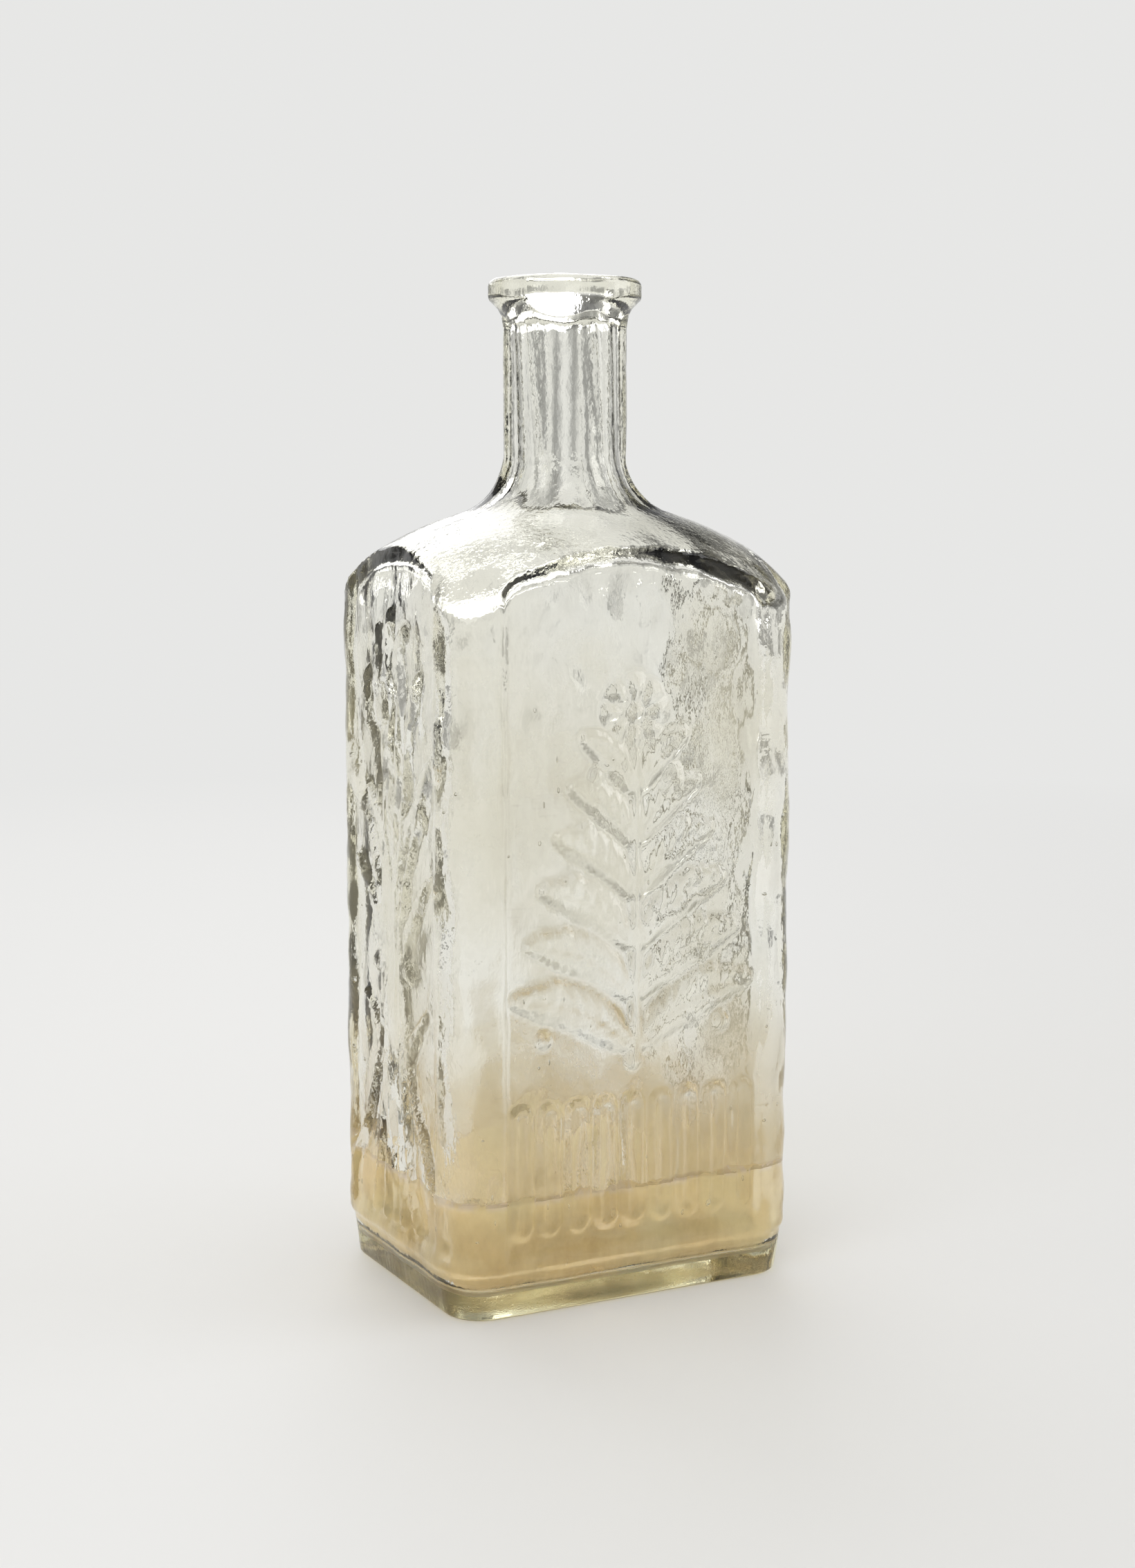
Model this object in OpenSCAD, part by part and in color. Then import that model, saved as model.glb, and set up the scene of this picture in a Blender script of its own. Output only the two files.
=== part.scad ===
// Bitters bottle: a mould-blown rectangular bottle with an arched shoulder, a
// six-sided neck and an applied collar lip, empty but for the dried residue inside.
// Millimetres. Z points up, the base rests on Z = 0, and the wide front faces -Y.

/* [Body] */
// Width of the body across the front
body_w = 84; // [70:1:104]
// Depth of the body, front to back
body_d = 66; // [54:1:82]
// Radius of the four upright corners
corner_r = 10.8; // [8.5:0.1:14]
// Thickness of the glass in the body
wall = 4.2; // [3:0.1:5.2]
// Thickness of the glass under the inside floor
base_t = 5.4; // [4:0.1:8]
// Chamfer round the inside floor
heel = 2.6; // [1.5:0.1:4]

/* [Foot] */
// Height of the stepped-in foot
foot_h = 10.5; // [8:0.5:14]
// How far the foot steps in at its top
foot_step = 1.0; // [0.5:0.1:1.6]
// How far the foot has drawn in at its bottom edge
foot_in = 2.0; // [1.7:0.1:3]
// Size of the bevel along the bottom edge
foot_bevel = 1.0; // [0.5:0.1:1.5]
// Diameter of the dished mark under the base
dish_d = 44; // [36:1:48]
// Depth of that dish at its centre
dish_h = 1.2; // [0.5:0.1:2]

/* [Shoulder] */
// Height at which the shoulder ends and the straight neck starts
neck_root_z = 179; // [170:1:216]
// Radius of the shoulder's swell, seen from the front
swell_r = 68; // [60:1:76]
// Distance from the axis to the centre of that swell
swell_off = 6.8; // [5.5:0.1:8.2]
// Radius of the hollow curve from the shoulder into the neck
root_r = 13.5; // [11:0.5:16.5]
// Softness of the arched edges, as a share of the distance from the axis
edge_soft = 0.02; // [0.01:0.005:0.04]

/* [Neck] */
// Length of the neck from the shoulder to the underside of the lip
neck_h = 28; // [22:1:36]
// Distance across two opposite flats of the six-sided neck
neck_flats = 24.6; // [23:0.1:28]
// Diameter over the rounded corners of the neck
neck_round = 27.2; // [25.6:0.1:30]
// Diameter of the bore through neck and lip
bore_d = 18.8; // [15:0.1:20]

/* [Lip] */
// Outer diameter of the collar lip
lip_d = 33; // [31:0.5:40]
// Height of the upright side of the lip
lip_side_h = 3.5; // [2.5:0.1:5]
// Height of the crowned top above the upright side
lip_crown_h = 1.1; // [0.8:0.1:1.6]
// Slope of the cone under the lip
lip_cone_angle = 45; // [35:1:55]
// Thickness of the lip over the end of the neck
lip_cap_h = 1.2; // [1:0.1:2]

/* [Residue] */
// Height of the tide line that the dried residue reaches
tide_z = 25; // [16:1:40]
// Thickness of the dried film on the walls
film_t = 0.4; // [0.3:0.1:0.8]
// Thickness of the dried sediment on the floor
sediment_t = 1.0; // [0.6:0.1:2]

/* [Hidden] */

corner_steps = 6;   // facets round each upright corner
long_steps = 6;     // spans along the front and the back
short_steps = 4;    // spans along each side
dome_rings = 16;    // levels between the body and the neck
round_fn = 96;      // facets of round parts where they are drawn as a mesh
over = 1;           // how far a cutter runs past what it cuts
dome_margin = 4;    // how far below its first cut into the corners the dome starts
neck_sink = 0.15;   // how far the dome's top lies inside the neck's faces
bore_sink = 0.35;   // how far the top of the space inside lies within the bore

bore_r = bore_d / 2;
lip_r = lip_d / 2;
neck_flat_r = neck_flats / 2;
neck_r = neck_round / 2;
neck_corner_r = neck_flat_r / cos(30);

// The cone under the lip starts on the neck's flats and rises to the upright side.
lip_z = neck_root_z + neck_h;
lip_cone_h = (lip_r - neck_flat_r) * tan(lip_cone_angle);
lip_side_z = lip_z + lip_cone_h;
lip_edge_z = lip_side_z + lip_side_h;
top_z = lip_edge_z + lip_crown_h;
neck_end_z = top_z - lip_cap_h;

// The glass is as thick at the neck's root as its bore leaves it.
root_wall = neck_r - bore_r;

// Half width at which the shoulder starts to turn from oval to the neck's shape.
turn_half = body_w * 0.36;

// The height of the centre of the shoulder's swell, so that it runs smoothly into
// the hollow curve. Inside the glass, "off" is the thickness there.
function swell_z(off, root_off) =
    neck_root_z - sqrt(pow(swell_r - off + root_r + root_off, 2)
                       - pow(neck_r + root_r - swell_off, 2));

// The shoulder's half width at height z, seen from the front.
function shoulder_half(z, off, root_off) =
    let(
        outer = swell_r - off,
        hollow = root_r + root_off,
        centre_z = swell_z(off, root_off),
        joint_z = centre_z + (neck_root_z - centre_z) * outer / (outer + hollow)
    )
    z >= joint_z
        ? neck_r + root_r - sqrt(pow(hollow, 2) - pow(neck_root_z - min(z, neck_root_z), 2))
        : swell_off + sqrt(pow(outer, 2) - pow(z - centre_z, 2));

// Points of one upright corner, from start angle a0 over a quarter turn.
function corner(cx, cy, r, a0) =
    [for (i = [0:corner_steps]) let(a = a0 + 90 * i / corner_steps) [cx + r * cos(a), cy + r * sin(a)]];

// Points between a and b, without the two ends.
function between(a, b, steps) = [for (i = [1:steps - 1]) a + (b - a) * i / steps];

// The body's outline, drawn in by "inset": corners joined by straight faces.
function outline(inset) =
    let(
        r = corner_r - inset,
        x = body_w / 2 - corner_r,
        y = body_d / 2 - corner_r,
        front_right = corner(x, -y, r, -90),
        back_right = corner(x, y, r, 0),
        back_left = corner(-x, y, r, 90),
        front_left = corner(-x, -y, r, 180),
        last = corner_steps
    )
    concat(
        front_right, between(front_right[last], back_right[0], short_steps),
        back_right, between(back_right[last], back_left[0], long_steps),
        back_left, between(back_left[last], front_left[0], short_steps),
        front_left, between(front_left[last], front_right[0], long_steps)
    );

// The smaller of u and 1, with the change from one to the other rounded off.
function soft_min(u) =
    let(h = min(1, max(0, 0.5 + 0.5 * (1 - u) / edge_soft)))
    (1 - h) + u * h - edge_soft * h * (1 - h);

// How far the shoulder has turned round: 0 on the body, 1 at the neck.
function roundness(half) =
    let(t = min(1, max(0, (turn_half - half) / (turn_half - neck_r - 1))))
    t * t * (3 - 2 * t);

// The six-sided neck's half width in the direction of point p, as a share of neck_r.
function six_sided(p) =
    let(turn = atan2(p[1], p[0]) + 390, off_flat = turn - 60 * floor(turn / 60) - 30)
    min(1, neck_flat_r / cos(off_flat) / neck_r);

// The outline cut back by the shoulder's dome at height z. The dome is as oval as
// the body below, so each flat face ends in an arch. At the neck it is round inside
// (flats = 0) and outside it takes on the neck's six flats (flats = 1).
function dome_ring(z, inset, root_off, flats) =
    let(
        half = shoulder_half(z, inset, root_off),
        oval = (body_w / 2 - inset) / (body_d / 2 - inset),
        t = roundness(half),
        k = oval + (1 - oval) * t
    )
    [for (p = outline(inset))
        p * soft_min(half * (1 + flats * t * (six_sided(p) - 1)) / norm([p[0], p[1] * k]))];

function at(z, ring) = [for (p = ring) [p[0], p[1], z]];

// The height at which the dome is as wide as the body's corners, and a little under
// it, where the dome's lowest ring lies.
corner_reach = norm([body_w / 2 - corner_r * (1 - cos(45)),
                     (body_d / 2 - corner_r * (1 - sin(45))) * body_w / body_d]);
dome_z = swell_z(0, 0) + sqrt(pow(swell_r, 2) - pow(corner_reach - swell_off, 2)) - dome_margin;

// A closed solid through a stack of rings with the same number of points. Its two
// ends are fans about the axis, because the rings have points in line.
module loft(rings) {
    n = len(rings[0]);
    m = len(rings);
    first = m * n;
    points = concat(
        [for (ring = rings) for (p = ring) p],
        [[0, 0, rings[0][0][2]], [0, 0, rings[m - 1][0][2]]]
    );
    sides = [
        for (j = [0:m - 2]) for (i = [0:n - 1])
            let(a = j * n + i, b = j * n + (i + 1) % n)
            each [[a, a + n, b + n], [a, b + n, b]]
    ];
    bottom = [for (i = [0:n - 1]) [first, i, (i + 1) % n]];
    top = [for (i = [0:n - 1]) [first + 1, (m - 1) * n + (i + 1) % n, (m - 1) * n + i]];
    polyhedron(points, concat(bottom, sides, top));
}

// The shoulder's rings, from the body's full outline up to the root of the neck.
function dome(inset, root_off, flats) =
    [for (i = [0:dome_rings])
        let(z = dome_z + (neck_root_z - dome_z) * i / dome_rings)
        at(z, dome_ring(z, inset, root_off, flats))];

// Six-sided prism with rounded corners, its flats facing the sides of the body.
module neck_prism(z0, z1) {
    translate([0, 0, z0])
        intersection() {
            rotate(30) cylinder(r = neck_corner_r, h = z1 - z0, $fn = 6);
            cylinder(r = neck_r, h = z1 - z0, $fn = round_fn);
        }
}

// The outside of the body and its shoulder.
module outside() {
    loft(concat(
        [
            at(0, outline(foot_in + foot_bevel)),
            at(foot_bevel, outline(foot_in)),
            at(foot_h - foot_step, outline(foot_step)),
            at(foot_h, outline(0))
        ],
        dome(0, neck_sink, 1)
    ));
}

// The space inside, up to where the bore takes over.
module cavity() {
    loft(concat(
        [at(base_t, outline(wall + heel)), at(base_t + heel, outline(wall))],
        dome(wall, root_wall + bore_sink, 0)
    ));
}

// The bore starts inside the shoulder, where the space is still wider than it.
bore_z = neck_root_z - root_r * 0.75;

// Shallow round dish under the base, part of a ball of this radius.
dish_ball_r = (pow(dish_d / 2, 2) + pow(dish_h, 2)) / (2 * dish_h);

// The mould-blown vessel: body, shoulder and neck in one gather of glass.
module glass_body() {
    color([0.86, 0.87, 0.78, 0.45])
        difference() {
            union() {
                outside();
                neck_prism(neck_root_z - root_r, neck_end_z);
            }
            cavity();
            translate([0, 0, bore_z])
                cylinder(r = bore_r, h = top_z + over - bore_z, $fn = round_fn);
            translate([0, 0, dish_h - dish_ball_r])
                sphere(r = dish_ball_r, $fn = round_fn);
        }
}

// The applied collar: a ring of glass wound round the end of the neck.
module lip_collar() {
    crown_r = (lip_r + bore_r) / 2;
    color([0.9, 0.91, 0.84, 0.5])
        difference() {
            rotate_extrude($fn = round_fn)
                polygon([
                    [bore_r, lip_z],
                    [neck_flat_r, lip_z],
                    [lip_r, lip_side_z],
                    [lip_r, lip_edge_z],
                    [crown_r + lip_crown_h, top_z],
                    [crown_r - lip_crown_h, top_z],
                    [bore_r, top_z - lip_crown_h / 2]
                ]);
            neck_prism(lip_z - over, neck_end_z);
        }
}

// The inside outline at a height near the floor, where the heel still narrows it.
function inside_at(z, inset) = at(z, outline(wall + inset + max(0, base_t + heel - z)));

// Dried film of residue on the lower walls, up to the tide line.
module wall_film() {
    floor_z = base_t + sediment_t;
    color([0.80, 0.58, 0.30])
        difference() {
            loft([inside_at(floor_z, 0), inside_at(base_t + heel, 0), inside_at(tide_z, 0)]);
            loft([
                inside_at(floor_z, film_t),
                inside_at(base_t + heel, film_t),
                inside_at(tide_z, film_t)
            ]);
        }
}

// Dried sediment on the floor, as wide as the space inside.
module floor_sediment() {
    color([0.86, 0.68, 0.42])
        loft([inside_at(base_t, 0), inside_at(base_t + sediment_t, 0)]);
}

glass_body();
lip_collar();
wall_film();
floor_sediment();
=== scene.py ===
# %% [markdown]
# # An old bitters bottle in clear glass
# A mould-blown bottle is one thick, uneven shell of glass: a rectangular body, an arched
# shoulder, a six-sided neck and a collar of glass laid round the mouth. What makes it look
# real is not its colour but the waves in its two surfaces, so most of this lesson builds
# one detailed shell. Inside it sits what the drink left behind.
#
# The CAD frame gives the true sizes, and everything is fitted to them.

# %% Load the frame
import math

import bpy
import numpy as np
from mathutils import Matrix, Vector, noise


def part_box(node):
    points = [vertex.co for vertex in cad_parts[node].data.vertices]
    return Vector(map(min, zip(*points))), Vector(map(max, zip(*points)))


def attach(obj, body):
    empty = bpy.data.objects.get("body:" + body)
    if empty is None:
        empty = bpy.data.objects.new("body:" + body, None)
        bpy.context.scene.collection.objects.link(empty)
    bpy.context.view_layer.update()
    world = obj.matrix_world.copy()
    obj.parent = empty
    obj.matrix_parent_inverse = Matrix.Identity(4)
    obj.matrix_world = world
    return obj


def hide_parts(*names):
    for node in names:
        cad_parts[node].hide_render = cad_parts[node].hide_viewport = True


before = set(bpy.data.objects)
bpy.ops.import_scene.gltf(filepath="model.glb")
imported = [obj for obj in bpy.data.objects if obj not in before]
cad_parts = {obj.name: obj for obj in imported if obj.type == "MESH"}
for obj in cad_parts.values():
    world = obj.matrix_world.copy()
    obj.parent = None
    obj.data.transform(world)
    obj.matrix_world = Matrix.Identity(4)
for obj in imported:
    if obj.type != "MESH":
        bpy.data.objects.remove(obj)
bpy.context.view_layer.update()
MM = 0.001
MM_PER_M = 1000


def box_mm(node):
    """The lowest and the highest corner of a CAD piece, in millimetres."""
    low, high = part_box(node)
    return np.array(low) * MM_PER_M, np.array(high) * MM_PER_M


glass_low, glass_high = box_mm("glass_body")
lip_low, lip_high = box_mm("lip_collar")
print("bottle", np.round(glass_high - glass_low, 1), "lip", np.round(lip_high - lip_low, 1))

# %% [markdown]
# ## Sizes
# The lesson works in millimetres and turns them into metres when a mesh is made. The
# overall sizes come from the frame, so the looks follow when the frame is made again. The
# rest are the curves of the mould: the stepped foot, the swell of the shoulder and the
# hollow that leads into the neck.

# %% Sizes taken from the frame
BODY_W, BODY_D = (glass_high - glass_low)[:2]
LIP_R = (lip_high[0] - lip_low[0]) / 2
LIP_Z = lip_low[2]
TOP_Z = lip_high[2]
TIDE_Z = box_mm("wall_film")[1][2]
FLOOR_Z = box_mm("floor_sediment")[0][2]
print("tide line at", round(TIDE_Z, 1), "and inside floor at", round(FLOOR_Z, 1))

# %% Sizes of the mould
CORNER_R = 10.8
WALL, HEEL = 4.2, 2.6
FOOT_H, FOOT_IN, FOOT_BEVEL = 10.5, 2.0, 1.0
STEP_IN, STEP_DROP, STEP_RISE = 0.9, 1.5, 0.6
DISH_R, DISH_H = 22.0, 1.2
DOME_Z, ROOT_Z = 143.5, 179.0
SWELL_R, SWELL_OFF, ROOT_R = 68.0, 6.8, 13.5
TURN_SHARE, EDGE_SOFT = 0.36, 0.025
FLAT_R, NECK_R, BORE_R = 12.3, 13.6, 9.4
TWIST_LOW, TWIST_HIGH = math.radians(7.6), math.radians(-1.5)
LIP_SIDE_Z = LIP_Z + LIP_R - FLAT_R
SEED = 7
print("the lip's upright side starts at", round(LIP_SIDE_Z, 1))

# %% [markdown]
# ## The plan of the body
# The body could be a cube with bevels and a sculpted surface. A grid of points worked out
# by formula is surer here, because the inside, the outside and the residue all have to
# follow the same curves. Every level has the same number of points, one above the other,
# so that a level joins the next with plain quads. The front gets the most points, because
# it carries the finest relief.

# %% The outline, point by point
ARC_SPANS = 8
FACE_SPANS = {"right": 46, "back": 54, "left": 46, "front": 94}


def outline():
    """Corner centre, outward normal, place along a face and the face, for each point."""
    hx, hy = BODY_W / 2 - CORNER_R, BODY_D / 2 - CORNER_R
    centres = [(hx, -hy), (hx, hy), (-hx, hy), (-hx, -hy)]
    base, normal, along, face = [], [], [], []
    for side, (name, spans) in enumerate(FACE_SPANS.items()):
        here, there = np.array(centres[side]), np.array(centres[(side + 1) % 4])
        start = math.radians(90 * side - 90)
        for i in range(ARC_SPANS):
            angle = start + math.pi / 2 * i / ARC_SPANS
            base.append(here)
            normal.append((math.cos(angle), math.sin(angle)))
            along.append(0.0)
            face.append("corner")
        angle = start + math.pi / 2
        length = np.linalg.norm(there - here)
        for i in range(spans):
            base.append(here + (there - here) * i / spans)
            normal.append((math.cos(angle), math.sin(angle)))
            along.append(length * (i / spans - 0.5))
            face.append(name)
    return np.array(base), np.array(normal), np.array(along), np.array(face)


BASE, NORMAL, ALONG, FACE = outline()
FULL = BASE + NORMAL * CORNER_R
ANGLE = np.arctan2(FULL[:, 1], FULL[:, 0])
RING = len(BASE)
print("points round the bottle:", RING)

# %% [markdown]
# ## The mould's surface
# Below the shoulder a level is the outline, drawn in a little at the foot. The shoulder is
# an oval dome that cuts the four flat faces, and the cut gives each face its arched top.
# Cutting two real solids would leave a hard edge with broken quads along it, so the lesson
# takes the smaller of the two radii and rounds the change over from one to the other.


# %% Rounded choices
def smooth(low, high, value):
    """From zero at low to one at high, flat at both ends."""
    t = np.clip((value - low) / (high - low), 0, 1)
    return t * t * (3 - 2 * t)


def soft_min(u):
    """The smaller of u and one, with the corner between them rounded off."""
    h = np.clip(0.5 + 0.5 * (1 - u) / EDGE_SOFT, 0, 1)
    return (1 - h) + u * h - EDGE_SOFT * h * (1 - h)


def quarter_round(share):
    """From one to zero along a quarter circle as share goes from zero to one."""
    return 1 - math.sqrt(max(0.0, 1 - (1 - min(share, 1)) ** 2))


print("a rounded edge takes", soft_min(1.0), "of the radius at the arch")

# %% [markdown]
# The shoulder's side view is two arcs that meet: a swell below and a hollow above. Near the
# neck the dome turns round and takes on the six flats, which the glassmaker's tool has
# twisted a few degrees between the shoulder and the lip.


# %% The shoulder and the six-sided neck
def shoulder_half(z, off, root_off):
    """Half the shoulder's width at height z, for a surface that lies off millimetres in."""
    outer, hollow = SWELL_R - off, ROOT_R + root_off
    centre = ROOT_Z - math.sqrt((outer + hollow) ** 2 - (NECK_R + ROOT_R - SWELL_OFF) ** 2)
    joint = centre + (ROOT_Z - centre) * outer / (outer + hollow)
    if z >= joint:
        return NECK_R + ROOT_R - math.sqrt(hollow**2 - (ROOT_Z - min(z, ROOT_Z)) ** 2)
    return SWELL_OFF + math.sqrt(outer**2 - (z - centre) ** 2)


def six_sided(angle, z):
    """The neck's radius at an angle: six twisted flats with softened corners."""
    twist = TWIST_LOW + (TWIST_HIGH - TWIST_LOW) * (z - ROOT_Z) / (LIP_Z - ROOT_Z)
    off = np.mod(angle - twist + math.pi / 6, math.pi / 3) - math.pi / 6
    return NECK_R * soft_min(FLAT_R / np.cos(off) / NECK_R)


print("half the shoulder's width at 160 mm:", round(shoulder_half(160, 0, 0), 1))


# %% Levels of the body
def level(z, inset, root_off=0.0, flats=True):
    """The points of one level, as x and y, before any waves or relief."""
    xy = BASE + NORMAL * (CORNER_R - inset)
    if z < DOME_Z:
        return xy
    half = shoulder_half(z, inset, root_off)
    t = smooth(BODY_W * TURN_SHARE, NECK_R + 1, half)
    oval = (BODY_W / 2 - inset) / (BODY_D / 2 - inset)
    k = oval + (1 - oval) * t
    if flats:
        angle = np.arctan2(xy[:, 1], xy[:, 0])
        half = half * (1 + t * (six_sided(angle, z) / NECK_R - 1))
    reach = np.hypot(xy[:, 0], xy[:, 1] * k)
    return xy * soft_min(half / reach)[:, None]


def foot_inset(z):
    """How far the stepped foot is drawn in: a rounded bottom edge, a taper and a step."""
    bevel = FOOT_BEVEL * quarter_round(z / FOOT_BEVEL)
    taper = (FOOT_IN - STEP_IN) * (1 - min(z / (FOOT_H - STEP_DROP), 1))
    step = STEP_IN * (1 - smooth(FOOT_H - STEP_DROP, FOOT_H + STEP_RISE, z))
    return bevel + taper + step


print("the foot is drawn in by", foot_inset(0), "at the bottom")

# %% [markdown]
# ## Relief
# The mould has patterns cut into it, which stand out on the glass. A bump texture would
# shade them, but glass shows relief by how it bends what is behind it, so the relief has
# to be real shape. It is worked out as a height over each flat face: a stroke is high
# along its middle line and falls off to its edges, and a leaf is a bent stroke with a rib.


# %% Strokes and leaves
LEAF_BEND = 0.12
RIB_DEPTH, RIB_W = 0.32, 0.5
VEIN_DEPTH, VEINS_PER_MM = 0.10, 1.9


def knob(distance, radius):
    """Height of a round shape with this radius, at a distance from its middle."""
    return np.sqrt(np.clip(1 - (distance / radius) ** 2, 0, 1))


def stroke(u, z, start, end, start_r, end_r):
    """Height of a rounded stroke from start to end, tapering from one radius to another."""
    dx, dz = end[0] - start[0], end[1] - start[1]
    t = ((u - start[0]) * dx + (z - start[1]) * dz) / (dx * dx + dz * dz)
    t = np.clip(t, 0, 1)
    distance = np.hypot(u - start[0] - t * dx, z - start[1] - t * dz)
    return knob(distance, start_r + (end_r - start_r) * t)


def leaf(u, z, foot, angle, length, width):
    """Height of a pointed leaf with a sunken midrib, growing from foot at an angle."""
    c, s = math.cos(angle), math.sin(angle)
    t = ((u - foot[0]) * c + (z - foot[1]) * s) / length
    arch = np.sin(np.clip(t, 0, 1) * math.pi)
    across = (u - foot[0]) * -s + (z - foot[1]) * c - length * LEAF_BEND * arch
    half = width * np.sqrt(np.clip(arch, 1e-6, 1))
    swell = np.clip(1 - (across / half) ** 2, 0, 1) * ((t > 0) & (t < 1))
    rib = RIB_DEPTH * np.exp(-((across / RIB_W) ** 2)) * (swell > 0)
    veins = VEIN_DEPTH * np.sin((t * length - np.abs(across)) * VEINS_PER_MM) * (swell > 0.1)
    return np.clip(np.sqrt(swell) - rib + veins * swell, 0, 1.1)


middle = stroke(np.array([0.0]), np.array([5.0]), (0, 0), (0, 10), 2, 1)
print("a stroke is", middle[0], "high on its middle line")

# %% [markdown]
# The front has a leafy sprig with berries under a rosette, over a row of round-topped
# flutes. These are common ornaments of pressed glass.

# %% The front's pattern
FLUTES, FLUTE_PITCH, FLUTE_LOW, FLUTE_HIGH = 9, 6.6, 19.5, 42.5
FLUTE_R, FLUTE_HOLLOW_R, FLUTE_HOLLOW = 2.7, 1.5, 0.75
SPRIG_LOW, SPRIG_HIGH, STEM_LOW_R, STEM_HIGH_R = 52.0, 118.0, 1.7, 0.9
LEAF_PAIRS, LEAVES_START, LEAVES_SHORT = 6, 3, 12
LEAF_LENGTH, LEAF_SHORTER = 31, 14
LEAF_WIDTH, LEAF_NARROWER = 5.4, 1.6
LEAF_RISE, LEAF_STEEPER, LEAF_FOOT = 24, 22, 0.6
BERRY_R, BERRY_OUT, BERRY_NEARER, BERRY_UP = 1.9, 21, 12, 3.5
ROSETTE_Z, ROSETTE_R, PETALS = 125.5, 8.0, 8
PETAL_MIDDLE, PETAL_HALF, PETAL_H, PETAL_GAP = 0.62, 0.42, 0.9, 0.6
BUTTON = 0.24


def flutes(u, z):
    """Upright round-topped ribs with a hollow along each."""
    height = np.zeros_like(u)
    for i in range(FLUTES):
        x = (i - (FLUTES - 1) / 2) * FLUTE_PITCH
        outer = stroke(u, z, (x, FLUTE_LOW), (x, FLUTE_HIGH), FLUTE_R, FLUTE_R)
        inner = stroke(u, z, (x, FLUTE_LOW), (x, FLUTE_HIGH), FLUTE_HOLLOW_R, FLUTE_HOLLOW_R)
        height = np.maximum(height, outer - FLUTE_HOLLOW * inner)
    return height


def sprig(u, z):
    """A stem with pairs of leaves, each smaller and steeper than the pair below it."""
    height = stroke(u, z, (0, SPRIG_LOW), (0, SPRIG_HIGH), STEM_LOW_R, STEM_HIGH_R)
    for i in range(LEAF_PAIRS):
        share = i / (LEAF_PAIRS - 1)
        foot = SPRIG_LOW + LEAVES_START + (SPRIG_HIGH - SPRIG_LOW - LEAVES_SHORT) * share
        length = LEAF_LENGTH - LEAF_SHORTER * share
        width = LEAF_WIDTH - LEAF_NARROWER * share
        rise = math.radians(LEAF_RISE + LEAF_STEEPER * share)
        for side in (1, -1):
            blade = leaf(u * side, z, (LEAF_FOOT, foot), rise, length, width)
            across = u * side - BERRY_OUT + BERRY_NEARER * share
            berry = knob(np.hypot(across, z - foot - BERRY_UP), BERRY_R)
            height = np.maximum(height, np.maximum(blade, berry))
    return height


def rosette(u, z):
    """Round petals about a raised button."""
    r, angle = np.hypot(u, z - ROSETTE_Z), np.arctan2(z - ROSETTE_Z, u)
    off = (r - ROSETTE_R * PETAL_MIDDLE) / (ROSETTE_R * PETAL_HALF)
    petals = np.clip(1 - off**2, 0, 1)
    petals = petals * np.abs(np.cos(angle * PETALS / 2)) ** PETAL_GAP
    return np.maximum(petals * PETAL_H, knob(r, ROSETTE_R * BUTTON))


def front_relief(u, z):
    """The whole front: u is the place along the face."""
    return np.maximum(np.maximum(flutes(u, z), sprig(u, z)), rosette(u, z))


print("the front has", FLUTES, "flutes and", 2 * LEAF_PAIRS, "leaves")

# %% [markdown]
# The narrow sides have a tied sheaf of reeds with pointed heads, and a few long blades.

# %% The sides' pattern
REEDS, REED_FOOT, REED_TIP, REED_FALL, REED_R = 7, 14, 134.0, 3.2, 1.15
REED_GAP, REED_FLARE = 1.5, 3.4
HEAD_GAP, HEAD_DROP, HEAD_TURN, HEAD_LENGTH, HEAD_WIDTH = 4.9, 4, 7, 17, 2.3
TIE_Z, TIE_HALF, TIE_R, TIE_H = 70.0, 8.5, 2.2, 0.9
BLADES = ((30.0, 36.0), (52.0, 44.0), (78.0, 34.0))
BLADE_FOOT, BLADE_RISE, BLADE_WIDTH, BLADE_H = 1.5, math.radians(66), 2.6, 0.85


def side_relief(u, z):
    """The tie, then the reeds that fan out above and below it, then the blades."""
    height = stroke(u, z, (-TIE_HALF, TIE_Z), (TIE_HALF, TIE_Z), TIE_R, TIE_R) * TIE_H
    for i in range(REEDS):
        k = i - (REEDS - 1) / 2
        tip = REED_TIP - REED_FALL * k * k
        middle = k * (REED_GAP + REED_FLARE * ((z - TIE_Z) / (tip - TIE_Z)) ** 2)
        reed = knob(u - middle, REED_R) * ((z > REED_FOOT) & (z < tip))
        foot, turn = (k * HEAD_GAP, tip - HEAD_DROP), math.radians(90 - HEAD_TURN * k)
        head = leaf(u, z, foot, turn, HEAD_LENGTH, HEAD_WIDTH)
        height = np.maximum(height, np.maximum(reed, head))
    for side in (1, -1):
        for low, length in BLADES:
            foot = (BLADE_FOOT, low)
            blade = leaf(u * side, z, foot, BLADE_RISE, length, BLADE_WIDTH)
            height = np.maximum(height, blade * BLADE_H)
    return height


print("each side has", REEDS, "reeds and", 2 * len(BLADES), "blades")

# %% [markdown]
# ## Waves in the glass
# Hot glass chills unevenly against the mould. The outside is slightly dimpled, with fine
# upright grain on the sides and level ripples on the shoulder. The inside was shaped by
# breath alone and is wavier. Both are smooth noise, pushed in or out along the surface. A
# kind of wave is its height, its length along each axis and a number that tells it apart.

# %% Kinds of waves
DIMPLES = (0.60, (7.5, 7.5, 9), 0)
PITS = (0.16, (3, 3, 3.5), 1)
NECK_RINGS = (0.05, (6, 6, 0.9), 2)
SHOULDER_RIPPLES = (0.16, (14, 14, 1.8), 2)
SIDE_GRAIN = (0.14, (1.3, 1.3, 26), 3)
INSIDE_SWELLS = (1.1, (10, 10, 12), 5)
INSIDE_DIMPLES = (0.3, (4.5, 4.5, 5), 6)
FLOOR_LUMPS = (0.25, (8, 8, 8), 8)
CRUST_LUMPS = (0.3, (5, 5, 5), 11)


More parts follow.
